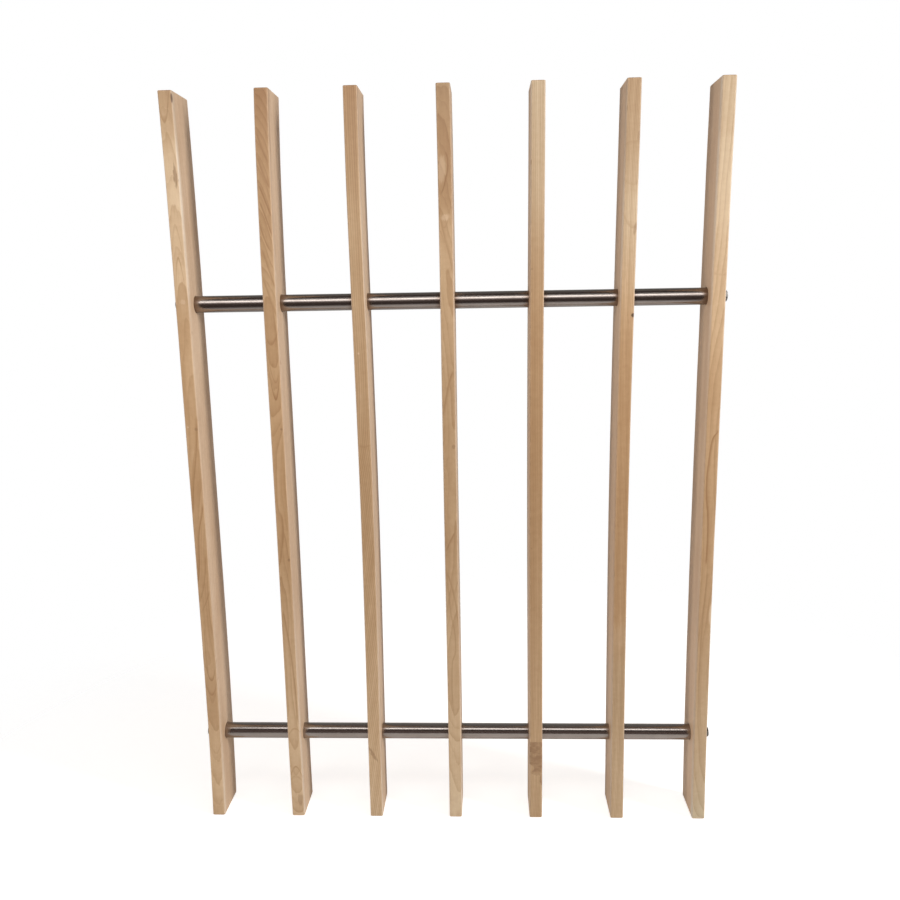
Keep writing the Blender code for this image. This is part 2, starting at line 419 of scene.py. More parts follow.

# What is particular to each board, in millimetres from the middle of its front edge. bow is how far
# it strays sideways at its head, middle and foot. heart gives the tree's heart as (height, sideways,
# depth in front). The paleness list gives (height, how pale) along the front edge: partly the board's
# own tone and partly painted light and shade, brighter where the light fell stronger and dimmer where
# it fell weaker. The greying list gives (height, how grey) along the front edge: a painted sheen
# towards the head and painted floor light towards the foot. lines are ring edges that run up the
# slat, as (points, fading, strength). arches are rings that cross it in a bow, as (sideways, height,
# bow, fading, strength). marks are blemishes, as (sideways, height, reach sideways, reach up, slant,
# ragged, strength, colour).
BOARDS = {
    "slat_1": dict(
        ring=2.6, figure=0.38, cloud=0.55, ripple=1.6, bow=(-2.5, 0.7, -2.2),
        heart=[(500, -2, 46), (300, 0, 33), (80, 6, 24), (-40, -6, 22), (-170, -16, 22), (-290, -1, 27),
               (-500, 2, 40)],
        pale_and_painted_light=[(500, 0.90), (450, 1.02), (386, 1.30), (306, 1.20), (160, 1.13), (58, 1.10), (-60, 0.98),
              (-170, 1.01), (-282, 1.12), (-500, 1.0)],
        painted_grey=[(500, 0.25), (300, 0.12), (50, 0.00), (-170, 0.04), (-500, 0.18)],
        lines=[([(95, 9), (60, 6.5), (20, 1), (-5, -3), (-50, -7)], -5, 0.6),
               ([(-25, 9), (-45, 5.5), (-75, -1), (-120, -4), (-150, -9)], -5, 0.7),
               ([(-100, 6), (-140, 2), (-175, -9)], -4, 0.45),
               ([(-150, 9), (-176, 0), (-190, -9)], -3, 0.5),
               ([(-205, -4), (-250, -5), (-285, -3)], 3, 0.5)],
        arches=[(-0.4, 298, -1.1, 9, 0.7), (-1, 338, -0.8, 12, 0.35), (-3, 462, 0.5, 14, 0.6),
                (1, -291, 0.45, 8, 0.6), (0, -314, 0.30, 8, 0.55), (1, -402, 0.25, 8, 0.35)],
        marks=[(4.8, 397, 2.8, 13, -0.05, 1.3, 0.62, STAIN_BROWN),
               (-5, 75, 1.0, 1.2, 0, 0.3, 0.8, FRESH_WOOD),
               (1.0, 240, 4, 3.2, 0, 1.0, 0.45, FRESH_WOOD), (8.4, 490, 1.0, 6, 0, 0.5, 0.9, KNOT_BROWN),
               (6, 72, 2.2, 2.2, 0.0, 0.6, 0.45, STAIN_BROWN)]),
    "slat_2": dict(
        ring=2.3, figure=0.45, cloud=0.35, ripple=1.2, bow=(3.5, 0.5, 0.4),
        heart=[(500, -14, 60), (400, -16, 44), (300, -12, 32), (190, 0, 24), (130, 0, 27), (0, -14, 33),
               (-130, -8, 30), (-260, -14, 26), (-400, 0, 30), (-500, 2, 40)],
        pale_and_painted_light=[(500, 0.71), (385, 0.86), (300, 0.93), (160, 1.01), (0, 1.0), (-170, 0.98), (-282, 1.06),
              (-500, 1.06)],
        painted_grey=[(500, 0.11), (300, 0.12), (50, 0.03), (-170, 0.10), (-500, 0.24)],
        lines=[([(455, -9), (430, -2), (405, 9)], 5, 0.5), ([(425, -9), (395, 0), (375, 9)], 5, 0.5),
               ([(390, -9), (360, 2), (340, 9)], 4, 0.7), ([(370, -9), (335, 3), (315, 9)], 4, 0.7),
               ([(345, -9), (318, -3), (295, 9)], 4, 0.65), ([(310, -9), (285, -1), (250, 9)], 5, 0.55),
               ([(275, -9), (240, 1), (215, 9)], 5, 0.5),
               ([(-40, -7), (-58, 1), (-94, -2), (-125, -9)], -6, 0.55),
               ([(-180, -6), (-210, -2), (-262, 3.5), (-330, 6.5), (-357, 6)], -4, 0.65)],
        arches=[(-1, 182, 0.18, 9, 0.5), (1, 110, 0.75, 12, 0.75), (2, 132, 0.5, 8, 0.5),
                (2, -360, -0.12, 6, 0.5), (0.5, -421, -0.22, 6, 0.65), (0, -436, -0.1, 6, 0.3)],
        marks=[(6, 71, 1.6, 1.6, 0, 0.4, 0.55, STAIN_BROWN), (6, -111, 1.7, 2.2, 0, 0.4, 0.65, STAIN_BROWN),
               (4, -474, 4.0, 9, 0, 0.9, 0.4, STAIN_BROWN)]),
    "slat_3": dict(
        ring=2.7, figure=0.65, cloud=0.25, ripple=0.5, bow=(-0.4, 1.8, -0.3),
        heart=[(500, -62, 20), (250, -60, 20), (90, -60, 20), (0, -74, 20), (-250, -118, 20),
               (-500, -160, 22)],
        pale_and_painted_light=[(500, 0.75), (385, 0.88), (300, 0.98), (60, 0.97), (-60, 0.97), (-282, 1.07), (-500, 1.11)],
        painted_grey=[(500, 0.12), (380, 0.24), (50, 0.15), (-170, 0.16), (-500, 0.30)],
        lines=[([(500, -3), (380, -2), (250, -3.5)], -2.5, 0.3), ([(470, 3), (330, 4), (230, 3)], -2.5, 0.3),
               ([(0, 9), (-50, 2), (-110, -9)], 3, 0.25), ([(-80, 9), (-150, -1), (-200, -9)], 3, 0.25)],
        arches=[(0, 45, 0.02, 5, 0.3)],
        marks=[(-2.5, 170, 1.1, 1.4, 0, 0.3, 0.6, FRESH_WOOD),
               (-5, -396, 1.8, 7, -0.7, 0.9, 0.55, STAIN_BROWN),
               (-1, -405, 2.6, 8, -0.7, 0.9, 0.5, STAIN_BROWN)]),
    "slat_4": dict(
        ring=2.9, figure=0.4, cloud=0.45, ripple=1.6, bow=(-0.8, -0.2, -0.5),
        heart=[(500, 4, 50), (380, -14, 34), (250, 6, 26), (100, 14, 30), (0, 2, 34), (-120, 16, 28),
               (-280, 0, 24), (-400, 6, 34), (-500, 0, 40)],
        pale_and_painted_light=[(500, 0.73), (380, 0.72), (300, 0.99), (160, 0.93), (55, 0.95), (-55, 0.87), (-170, 1.01),
              (-282, 1.02), (-500, 1.10)],
        painted_grey=[(500, 0.50), (380, 0.20), (50, 0.20), (-170, 0.20), (-500, 0.36)],
        lines=[([(425, -9), (418, 1), (406, 3.5), (388, 1), (362, -9)], 3, 0.75),
               ([(345, -8), (318, -3), (285, 5), (262, 9)], 5, 0.45),
               ([(150, 9), (136, 2), (110, -4), (82, -9)], 5, 0.55),
               ([(-66, 9), (-76, 3), (-103, -9)], 5, 0.6),
               ([(-125, -9), (-150, -1), (-186, 5.5), (-235, 8)], 4, 0.5),
               ([(-120, -7), (-186, -2), (-240, 4), (-262, -1), (-310, -2), (-350, 5)], -3, 0.45)],
        arches=[(-2, 326, 0.4, 7, 0.35)],
        marks=[(-4, 398, 5.5, 16, 0.05, 0.5, 0.30, FRESH_WOOD), (0, 340, 5, 4, 0.3, 0.9, 0.35, FRESH_WOOD),
               (5.5, 45, 2.4, 3.0, 0, 0.6, 0.5, STAIN_BROWN)]),
    "slat_5": dict(
        ring=2.2, figure=0.55, cloud=0.25, ripple=0.4, bow=(1.2, -0.8, 0),
        heart=[(500, -84, 16), (0, -80, 16), (-500, -88, 16)],
        pale_and_painted_light=[(500, 1.0), (380, 0.99), (290, 0.91), (155, 0.92), (50, 0.85), (-280, 0.92), (-500, 0.86)],
        painted_grey=[(500, 0.46), (380, 0.38), (160, 0.11), (-55, 0.12), (-500, 0.33)],
        lines=[([(480, -3), (250, -2), (0, -3)], -2.5, 0.12)],
        arches=[],
        marks=[(-6.5, 274, 1.0, 1.4, 0, 0.3, 0.6, STAIN_BROWN), (-8.5, 404, 0.8, 3, 0, 0.3, 0.6, STAIN_BROWN),
               (-6, -96, 1.0, 1.2, 0, 0.3, 0.5, STAIN_BROWN)]),
    "slat_6": dict(
        ring=1.9, figure=0.6, cloud=0.25, ripple=0.45, bow=(3.0, -1.6, 0.8),
        heart=[(500, 95, 30), (250, 92, 30), (0, 96, 30), (-500, 90, 30)],
        pale_and_painted_light=[(500, 0.83), (440, 0.88), (375, 1.06), (300, 1.18), (230, 1.10), (155, 0.98), (50, 0.94),
              (-170, 0.91), (-500, 0.95)],
        painted_grey=[(500, 0.32), (380, 0.32), (160, 0.03), (-170, 0.08), (-300, 0.34), (-500, 0.38)],
        lines=[([(500, 2), (350, 1), (220, 2)], -2, 0.25), ([(450, -4), (300, -4.5), (150, -4)], -2, 0.25),
               ([(200, 0), (0, 1), (-200, 0)], -2, 0.2)],
        arches=[(3, 428, -0.03, 8, 0.3), (2, 374, 0.05, 8, 0.3), (4, 322, 0.1, 12, 0.4)],
        marks=[(7.6, 214, 2.4, 2.6, 0, 0.4, 0.95, KNOT_BROWN), (7, 322, 2.0, 8, 0.1, 0.6, 0.45, STAIN_BROWN),
               (7.5, 432, 1.8, 7, 0.1, 0.6, 0.35, STAIN_BROWN),
               (2, -222, 11, 16, 0.0, 1.2, 0.13, FRESH_WOOD)]),
    "slat_7": dict(
        ring=3.2, figure=0.42, cloud=0.3, ripple=0.9, bow=(2.4, -1.1, 1.6),
        heart=[(500, 40, 70), (250, 34, 66), (60, 26, 60), (-120, 30, 60), (-300, 16, 60), (-500, 20, 70)],
        pale_and_painted_light=[(500, 1.04), (440, 1.10), (372, 1.26), (290, 1.21), (150, 1.14), (50, 1.07), (-170, 1.02),
              (-300, 0.97), (-500, 0.98)],
        painted_grey=[(500, 0.38), (380, 0.27), (160, 0.05), (-55, 0.06), (-280, 0.22), (-500, 0.70)],
        lines=[([(70, 9), (62, 6), (48, -1), (20, -4), (-9, -5.5), (-65, -1.5), (-124, -2)], 5, 0.8),
               ([(-124, 1), (-160, -1), (-210, -4), (-300, -5)], 4, 0.5),
               ([(-300, -4), (-340, -1), (-380, 2)], -3, 0.3)],
        arches=[(0, 262, 0.02, 7, 0.25)],
        marks=[(8.3, -192, 3.0, 17, 0.0, 0.5, 0.75, FRESH_WOOD)]),
}

# The stained band near the foot of slat 5 is a straight-topped patch with a ragged lower edge.
STAINED_SLAT = "slat_5"
STAIN_TOP = -381 * MM
STAIN_FOOT = -435 * MM
STAIN_TOP_BLUR = 1.2 * MM
STAIN_FOOT_BLUR = 6 * MM
STAIN_SLANT = 1.4
STAIN_RAGGEDNESS = 70 * MM


def along_slat(tree, height, points):
    """Value in metres that changes smoothly up the slat through (height, value) points in millimetres."""
    values = [value for _, value in points]
    low, high = min(values) - 1, max(values) + 1
    head, foot = points[0][0], points[-1][0]
    settings = {"clamp": True}
    share = add_node(tree, "MapRange", height, foot * MM, head * MM, 0.0, 1.0, settings=settings).outputs[0]
    curve = tree.nodes.new("ShaderNodeFloatCurve")
    tree.links.new(share, curve.inputs["Value"])
    bends = curve.mapping.curves[0].points
    placed = [((at - foot) / (head - foot), (value - low) / (high - low)) for at, value in reversed(points)]
    bends[0].location = placed[0]
    bends[1].location = placed[-1]
    for spot in placed[1:-1]:
        bends.new(*spot)
    curve.mapping.update()
    return calc(tree, "MULTIPLY_ADD", curve.outputs[0], (high - low) * MM, low * MM)


def amount_along(tree, height, points):
    """Plain number that changes smoothly up the slat through (height, number) points."""
    return along_slat(tree, height, [(at, number / MM) for at, number in points])


def darker(tree, figure, line, front, strength):
    """Figure with one more line in it, drawn only on the front edge."""
    drawn = calc(tree, "MULTIPLY", line, calc(tree, "MULTIPLY", front, strength))
    return calc(tree, "MAXIMUM", figure, drawn)


def front_figure(tree, board, x, height, front, late_wood, cloud):
    """Darkness of the late wood, with the lines and arches that this board shows on its front edge."""
    figure = calc(tree, "MULTIPLY", late_wood, board["figure"])
    for points, fading, strength in board["lines"]:
        distance = calc(tree, "SUBTRACT", x, along_slat(tree, height, points))
        distance = calc(tree, "MULTIPLY", distance, 1.0 if fading > 0 else -1.0)
        line = use_group(tree, RING_EDGE, Distance=distance, Fade=abs(fading) * MM, Height=height,
                         Foot=points[-1][0] * MM, Head=points[0][0] * MM)["Line"]
        figure = darker(tree, figure, line, front, strength)
    for sideways, apex, bow, fading, strength in board["arches"]:
        off_axis = calc(tree, "SUBTRACT", x, sideways * MM)
        bowed = calc(tree, "MULTIPLY", calc(tree, "MULTIPLY", off_axis, off_axis), bow / MM)
        wander = calc(tree, "MULTIPLY", calc(tree, "SUBTRACT", cloud, 0.5), ARCH_WANDER)
        rise = calc(tree, "ADD", calc(tree, "SUBTRACT", height, apex * MM), wander)
        outward = 1.0 if bow > 0 else -1.0
        distance = calc(tree, "MULTIPLY", calc(tree, "SUBTRACT", rise, bowed), outward)
        line = use_group(tree, RING_EDGE, Distance=distance, Fade=fading * MM)["Line"]
        figure = darker(tree, figure, line, front, strength)
    return figure


def tone_and_painted_light(tree, board, height, front, rings, fibre):
    """Colour that the fresh wood is multiplied by: how streaky the board is, and how pale and how grey
    along its front, partly its own tone and partly painted light, shade and sheen.
    """
    # Paleness along the front: partly the board's tone, partly painted light and shade.
    pale_and_painted_light = amount_along(tree, height, board["pale_and_painted_light"])
    shade = calc(tree, "MULTIPLY_ADD", calc(tree, "SUBTRACT", pale_and_painted_light, 1.0), front, 1.0)
    for part, amount in ((rings["Ring Tone"], RING_SWING), (fibre["Streaks"], STREAK_SWING),
                         (fibre["Cloud"], board["cloud"]), (fibre["Mottle"], MOTTLE_SWING)):
        swing = calc(tree, "MULTIPLY", calc(tree, "SUBTRACT", part, 0.5), amount)
        shade = calc(tree, "MULTIPLY", shade, calc(tree, "ADD", swing, 1.0))
    pores = calc(tree, "MULTIPLY", fibre["Pores"], calc(tree, "MULTIPLY_ADD", rings["Late Wood"], 0.10, 0.10))
    shade = calc(tree, "MULTIPLY", shade, calc(tree, "SUBTRACT", 1.0, pores))
    # Greyer towards the ends along the front: painted sheen at the head, painted floor light at the foot.
    painted_grey = calc(tree, "MULTIPLY", amount_along(tree, height, board["painted_grey"]), front)
    bands = []
    # Paler places lose colour by these powers, in the grain's tone and in the painted light and sheen alike.
    for tone_and_sheen_power, painted_greying_share in zip(TONE_AND_SHEEN_POWERS, PAINTED_GREYING_SHARES):
        tone_and_sheen = calc(tree, "POWER", shade, tone_and_sheen_power)
        bands.append(calc(tree, "MULTIPLY", tone_and_sheen, calc(tree, "MULTIPLY_ADD", painted_grey, painted_greying_share, 1.0)))
    return add_node(tree, "CombineColor", *bands).outputs[0]


def with_marks(tree, board, place, colour):
    """Colour with the board's knots, stains and bruises laid over it."""
    for sideways, at, reach_x, reach_z, slant, ragged, strength, patch_colour in board["marks"]:
        centre = (sideways * MM, -SLAT_SIZE.y / 2, at * MM)
        reach = (reach_x * MM, MARK_DEPTH, reach_z * MM)
        patch = use_group(tree, BLEMISH, Place=place, Centre=centre, Reach=reach, Slant=slant,
                          Ragged=ragged)["Patch"]
        colour = tint(tree, calc(tree, "MULTIPLY", patch, strength), colour, patch_colour)
    return colour


def with_stained_band(tree, x, height, place, front, colour):
    """Colour with a straight-topped brown band near the foot, ragged below and longer at the right."""
    ragged = calc(tree, "MULTIPLY", calc(tree, "SUBTRACT", cloudy(tree, place, 90, 3), 0.5), STAIN_RAGGEDNESS)
    longer_at_right = calc(tree, "MULTIPLY", x, STAIN_SLANT)
    lower_edge = calc(tree, "ADD", calc(tree, "ADD", height, ragged), longer_at_right)
    inside = calc(tree, "MULTIPLY", fade(tree, height, STAIN_TOP, STAIN_TOP - STAIN_TOP_BLUR),
                  fade(tree, lower_edge, STAIN_FOOT, STAIN_FOOT + STAIN_FOOT_BLUR))
    flecks = cloudy(tree, move(tree, "MULTIPLY", place, (1.0, 0.5, 2.2)), 100, 3)
    banded = fade(tree, flecks, 0.32, 0.66, 0.22, 0.88)
    amount = calc(tree, "MULTIPLY", calc(tree, "MULTIPLY", inside, banded), front)
    return tint(tree, amount, colour, STAIN_BROWN)


def ash(name, seed):
    """Oiled ash as it shows on one slat, with that board's own rings, lines and blemishes."""
    board = BOARDS[name]
    material = bpy.data.materials.new("oiled_ash_" + name)
    material.use_nodes = True
    tree = material.node_tree
    shader = tree.nodes["Principled BSDF"]
    x, y, height = add_node(tree, "SeparateXYZ", add_node(tree, "TexCoord").outputs["Object"]).outputs
    strays = [(at, strayed(at * MM, board["bow"]) / MM) for at in range(500, -501, -100)]
    x = calc(tree, "SUBTRACT", x, along_slat(tree, height, strays))
    place = add_node(tree, "CombineXYZ", x, y, height).outputs[0]
    front = fade(tree, y, -0.6 * SLAT_SIZE.y / 2, -0.95 * SLAT_SIZE.y / 2)

    heart_x = along_slat(tree, height, [(at, sideways) for at, sideways, _ in board["heart"]])
    heart_y = along_slat(tree, height, [(at, -SLAT_SIZE.y / 2 / MM - deep) for at, _, deep in board["heart"]])
    rings = use_group(tree, GROWTH_RINGS, Place=place, Heart_X=heart_x, Heart_Y=heart_y,
                      Ring_Width=board["ring"] * MM, Ripple=board["ripple"], Seed=seed)
    fibre = use_group(tree, WOOD_FIBRE, Place=place, Seed=seed)
    edges = use_group(tree, EASED_ARRIS, Place=place, Half_Size=tuple(SLAT_SIZE / 2), Reach=ARRIS_REACH)

    figure = front_figure(tree, board, x, height, front, rings["Late Wood"], fibre["Cloud"])
    colour = tint(tree, edges["Wide Face"], PALE_ASH, WIDE_FACE_ASH)
    quiet = calc(tree, "MULTIPLY_ADD", edges["Wide Face"], -0.5, 1.2)
    colour = tint(tree, calc(tree, "MULTIPLY", figure, quiet), colour, LATE_ASH)
    # The board's tone, with painted light, shade and sheen along its front.
    colour = tint(tree, 1.0, colour, tone_and_painted_light(tree, board, height, front, rings, fibre), "MULTIPLY")
    rubbed = calc(tree, "MULTIPLY", edges["Arris"], calc(tree, "MULTIPLY_ADD", fibre["Mottle"], 0.4, 0.03))
    colour = tint(tree, rubbed, colour, RUBBED_ASH)
    colour = with_marks(tree, board, place, colour)
    if name == STAINED_SLAT:
        colour = with_stained_band(tree, x, height, place, front, colour)
    colour = tint(tree, calc(tree, "MULTIPLY", edges["Sawn End"], 0.75), colour, SAWN_END_ASH)
    tree.links.new(colour, shader.inputs["Base Color"])

    roughness = calc(tree, "MULTIPLY_ADD", fibre["Streaks"], 0.16, 0.42)
    roughness = calc(tree, "MULTIPLY_ADD", edges["Sawn End"], 0.2, roughness)
    tree.links.new(roughness, shader.inputs["Roughness"])
    relief = calc(tree, "MULTIPLY_ADD", fibre["Pores"], -0.5, fibre["Streaks"])
    relief = calc(tree, "MULTIPLY_ADD", rings["Late Wood"], 0.4, relief)
    bump = add_node(tree, "Bump", Strength=0.35, Distance=GRAIN_RELIEF, Height=relief)
    tree.links.new(bump.outputs[0], shader.inputs["Normal"])
    return material


for number, name in enumerate(SLATS, start=1):
    slat = show(name + "_wood", slat_blank(name + "_wood", number, BOARDS[name]["bow"]), box_centre(name))
    slat.data = bored(slat, number)
    slat.modifiers.new("flat_faces", "WEIGHTED_NORMAL").keep_sharp = True
    fit_piece(slat, name, ash(name, float(number)))

# ---------------------------------------------------------------------------------------------
# TUBES. Lengths of drawn stainless tube, cut off square and deburred, that keep the slats apart.
# Each slips over the rod and sits in the sockets of the two slats it stands between.

TUBES = ["%s_spacer_%d" % (bar, number) for bar in BARS for number in range(1, 7)]
TUBE_WALL = 1.5 * MM
TUBE_DEBURR = 0.35 * MM
# Painted shade at each tube end, brown like a reflection of the shaded wood, stronger on the upper bar.
TUBE_END_SHADE_REACH = 12 * MM
TUBE_END_SHADE_BROWN = (0.16, 0.085, 0.04, 1)
TUBE_END_SHADE_AMOUNT = {"upper": 0.55, "lower": 0.2}
DRAWN_STEEL = (0.41, 0.375, 0.355, 1)
DRAWN_STEEL_DULL = (0.34, 0.30, 0.275, 1)
SPECK_BROWN = (0.12, 0.10, 0.085, 1)
STEEL_RELIEF = 0.03 * MM


def tube_mesh(name, length):
    """Open tube with both ends lightly chamfered inside and out."""
    half = length / 2
    inner = TUBE_RADIUS - TUBE_WALL
    outside = [(-half, TUBE_RADIUS - TUBE_DEBURR), (-half + TUBE_DEBURR, TUBE_RADIUS)]
    outside += [(-along, radius) for along, radius in reversed(outside)]
    inside = [(half, inner + TUBE_DEBURR), (half - TUBE_DEBURR, inner)]
    inside += [(-along, radius) for along, radius in reversed(inside)]
    rings = [turned_ring(*point) for point in outside + inside]
    return mesh_from_rings(name, rings, capped=False, sharp_degrees=30)


def make_handled_steel():
    """Bright steel as it looks in use: fine lines round or along it, soft smears and a few specks."""
    inputs = {"Place": ("Vector", (0, 0, 0)), "Stretch": ("Vector", (0.02, 1, 1)),
              "Fineness": ("Float", 900.0), "Seed": ("Float", 0.0)}
    tree, given, result = start_group("handled_steel", inputs, ["Lines", "Smears", "Specks"])
    drawn = move(tree, "MULTIPLY", given["Place"], given["Stretch"])
    tree.links.new(cloudy(tree, drawn, given["Fineness"], 4, given["Seed"]), result["Lines"])
    tree.links.new(cloudy(tree, move(tree, "MULTIPLY", given["Place"], (0.6, 1, 1)), 55, 3, given["Seed"]),
                   result["Smears"])
    specks = cloudy(tree, given["Place"], 1500, 1, given["Seed"])
    tree.links.new(fade(tree, specks, 0.74, 0.80), result["Specks"])
    return tree


HANDLED_STEEL = make_handled_steel()


def steel(name, seed, base, dull, roughness, stretch, fineness, bump_strength):
    """Steel between a base and a duller colour, with its roughness broken up by lines and smears."""
    material = bpy.data.materials.new(name)
    material.use_nodes = True
    tree = material.node_tree
    shader = tree.nodes["Principled BSDF"]
    shader.inputs["Metallic"].default_value = 1.0
    place = add_node(tree, "TexCoord").outputs["Object"]
    marks = use_group(tree, HANDLED_STEEL, Place=place, Stretch=stretch, Fineness=fineness, Seed=seed)
    dulling = fade(tree, marks["Smears"], 0.35, 0.75)
    dulling = calc(tree, "MULTIPLY_ADD", marks["Lines"], 0.35, calc(tree, "MULTIPLY", dulling, 0.65))
    colour = tint(tree, dulling, base, dull)
    colour = tint(tree, calc(tree, "MULTIPLY", marks["Specks"], 0.35), colour, SPECK_BROWN)
    tree.links.new(colour, shader.inputs["Base Color"])
    rough = calc(tree, "MULTIPLY_ADD", calc(tree, "SUBTRACT", marks["Lines"], 0.5), 0.06, roughness)
    rough = calc(tree, "MULTIPLY_ADD", calc(tree, "SUBTRACT", marks["Smears"], 0.5), 0.08, rough)
    tree.links.new(rough, shader.inputs["Roughness"])
    bump = add_node(tree, "Bump", Strength=bump_strength, Distance=STEEL_RELIEF, Height=marks["Lines"])
    tree.links.new(bump.outputs[0], shader.inputs["Normal"])
    return material


def paint_tube_end_shade(material, length, amount):
    """Darken and brown a tube's ends where they sit in the slats: painted shade, and a painted reflection of
    the shaded wood.
    """
    tree = material.node_tree
    colour = tree.nodes["Principled BSDF"].inputs["Base Color"]
    steel_colour = colour.links[0].from_socket
    along = add_node(tree, "SeparateXYZ", add_node(tree, "TexCoord").outputs["Object"]).outputs[0]
    from_end = calc(tree, "SUBTRACT", length / 2, calc(tree, "ABSOLUTE", along))
    painted_shade = calc(tree, "MULTIPLY", fade(tree, from_end, TUBE_END_SHADE_REACH, SOCKET_DEPTH), amount)
    tree.links.new(tint(tree, painted_shade, steel_colour, TUBE_END_SHADE_BROWN), colour)


for number, name in enumerate(TUBES):
    length = box_size(name).x
    tube = show(name + "_tube", tube_mesh(name + "_tube", length), box_centre(name))
    finish = steel("drawn_steel_" + name, number * 3.7, DRAWN_STEEL, DRAWN_STEEL_DULL,
                   roughness=0.20, stretch=(0.012, 1, 1), fineness=700.0, bump_strength=0.015)
    # Painted shade and painted reflection at the tube ends.
    paint_tube_end_shade(finish, length, TUBE_END_SHADE_AMOUNT[name.split("_")[0]])
    fit_piece(tube, name, finish)

# ---------------------------------------------------------------------------------------------
# RODS. Two lengths of 8 mm steel bar with a rolled thread on each end, which run inside the tubes
# and through every slat. Only their tips show, just proud of the nuts.

THREAD_PITCH = 1.25 * MM
THREAD_DEPTH = 0.6 * THREAD_PITCH
THREAD_LENGTH = 14 * MM
THREAD_FLAT = 0.15
THREAD_SIDES = 40
STEPS_PER_TURN = 10
TIP_CHAMFER = 0.8 * MM
ROLLED_STEEL = (0.50, 0.49, 0.47, 1)
ROLLED_STEEL_DULL = (0.34, 0.32, 0.30, 1)


def thread_ring(along, half):
    """Outline of the rod at one place along it: round in the shank, a rolled helix near the ends."""
    into_thread = abs(along) - (half - THREAD_LENGTH)
    depth = THREAD_DEPTH * min(max(into_thread / (2 * THREAD_PITCH), 0), 1)
    tip = ROD_RADIUS - TIP_CHAMFER + half - abs(along)
    ring = []
    for i in range(THREAD_SIDES):
        angle = 2 * pi * i / THREAD_SIDES
        turn = (along / THREAD_PITCH - angle / (2 * pi)) % 1
        groove = min(max((1 + 2 * THREAD_FLAT) * (1 - abs(2 * turn - 1)) - THREAD_FLAT, 0), 1)
        radius = min(ROD_RADIUS - depth * groove, tip)
        ring.append((along, radius * cos(angle), radius * sin(angle)))
    return ring


def rod_mesh(name, length):
    """Rod with a plain shank between two threaded ends."""
    half = length / 2
    steps = round(THREAD_LENGTH / THREAD_PITCH * STEPS_PER_TURN)
    thread = [half - THREAD_LENGTH * step / steps for step in range(steps + 1)]
    places = [-along for along in thread] + list(reversed(thread))
    return mesh_from_rings(name, [thread_ring(along, half) for along in places], sharp_degrees=50)


for number, bar in enumerate(BARS):
    name = bar + "_rod"
    rod = show(name + "_steel", rod_mesh(name + "_steel", box_size(name).x), box_centre(name))
    finish = steel("rolled_steel_" + bar, 50 + number, ROLLED_STEEL, ROLLED_STEEL_DULL,
                   roughness=0.30, stretch=(1, 0.1, 0.1), fineness=1200.0, bump_strength=0.3)
    fit_piece(rod, name, finish)

# ---------------------------------------------------------------------------------------------
# WASHERS. Stamped and tumbled flat washers, one under each nut, that spread the clamping force
# over the outside face of the end slat.

ENDS = {"left": -1, "right": 1}
WASHER_ROUNDING = 0.35 * MM
TUMBLED_STEEL = (0.58, 0.565, 0.54, 1)
TUMBLED_STEEL_DULL = (0.40, 0.38, 0.35, 1)


def washer_mesh(name, thickness, outer, inner):
    """Flat ring whose stamped edges are rounded over."""
    half = thickness / 2
    arc = [radians(angle) for angle in (0, 30, 60, 90)]
    rim = [(half - WASHER_ROUNDING * (1 - cos(a)), outer - WASHER_ROUNDING * (1 - sin(a))) for a in arc]
    bore = [(half - WASHER_ROUNDING * (1 - cos(a)), inner + WASHER_ROUNDING * (1 - sin(a))) for a in arc]
    face = rim + [(-along, radius) for along, radius in reversed(rim)]
    hole = [(-along, radius) for along, radius in bore] + list(reversed(bore))
    rings = [turned_ring(*point) for point in face + hole]
    return mesh_from_rings(name, rings, capped=False, sharp_degrees=50)


for bar in BARS:
    for end in ENDS:
        name = "%s_washer_%s" % (bar, end)
        size = box_size(name)
        mesh = washer_mesh(name + "_plate", size.x, size.y / 2, ROD_RADIUS + FIT_GAP)
        washer = show(name + "_plate", mesh, box_centre(name))
        finish = steel("tumbled_steel_" + name, len(name) + 7 * ENDS[end], TUMBLED_STEEL, TUMBLED_STEEL_DULL,
                       roughness=0.34, stretch=(1, 1, 1), fineness=700.0, bump_strength=0.6)
        fit_piece(washer, name, finish)

# ---------------------------------------------------------------------------------------------
# NUTS. Plain cold-formed hexagon nuts, one on each rod end, turned up until the rod's tip stands
# just proud of them. The turned chamfers leave a round face at each end of the hexagon.

NUT_FLATS = 13 * MM
NUT_FACE_RADIUS = 6.15 * MM
NUT_CORNER_RADIUS = 7.38 * MM
CHAMFER_SLOPE = tan(radians(30))
CHAMFER_STEPS = 6
NUT_COUNTERSINK = 0.45 * MM
NUT_SIDES = 144
NUT_TURN = {"lower_left": 8, "lower_right": 24, "upper_left": 37, "upper_right": 13}
COLD_FORMED_STEEL = (0.27, 0.26, 0.245, 1)
COLD_FORMED_STEEL_DULL = (0.17, 0.16, 0.145, 1)


def hexagon_radius(angle):
    """Distance from the axis to the side of the nut's hexagon."""
    return NUT_FLATS / 2 / cos(angle % (pi / 3) - pi / 6)


def nut_profile(height):
    """Turned outline of the nut, as (distance along it, radius), that limits its hexagon."""
    widening = NUT_CORNER_RADIUS - NUT_FACE_RADIUS
    parts = [step / CHAMFER_STEPS for step in range(CHAMFER_STEPS + 1)]
    chamfer = [(widening * CHAMFER_SLOPE * part - height / 2, NUT_FACE_RADIUS + widening * part)
               for part in parts]
    outside = chamfer + [(-along, radius) for along, radius in reversed(chamfer)]
    bore = ROD_RADIUS + FIT_GAP / 2
    sunk = [(height / 2, bore + NUT_COUNTERSINK), (height / 2 - NUT_COUNTERSINK, bore)]
    return outside + sunk + [(-along, radius) for along, radius in reversed(sunk)]


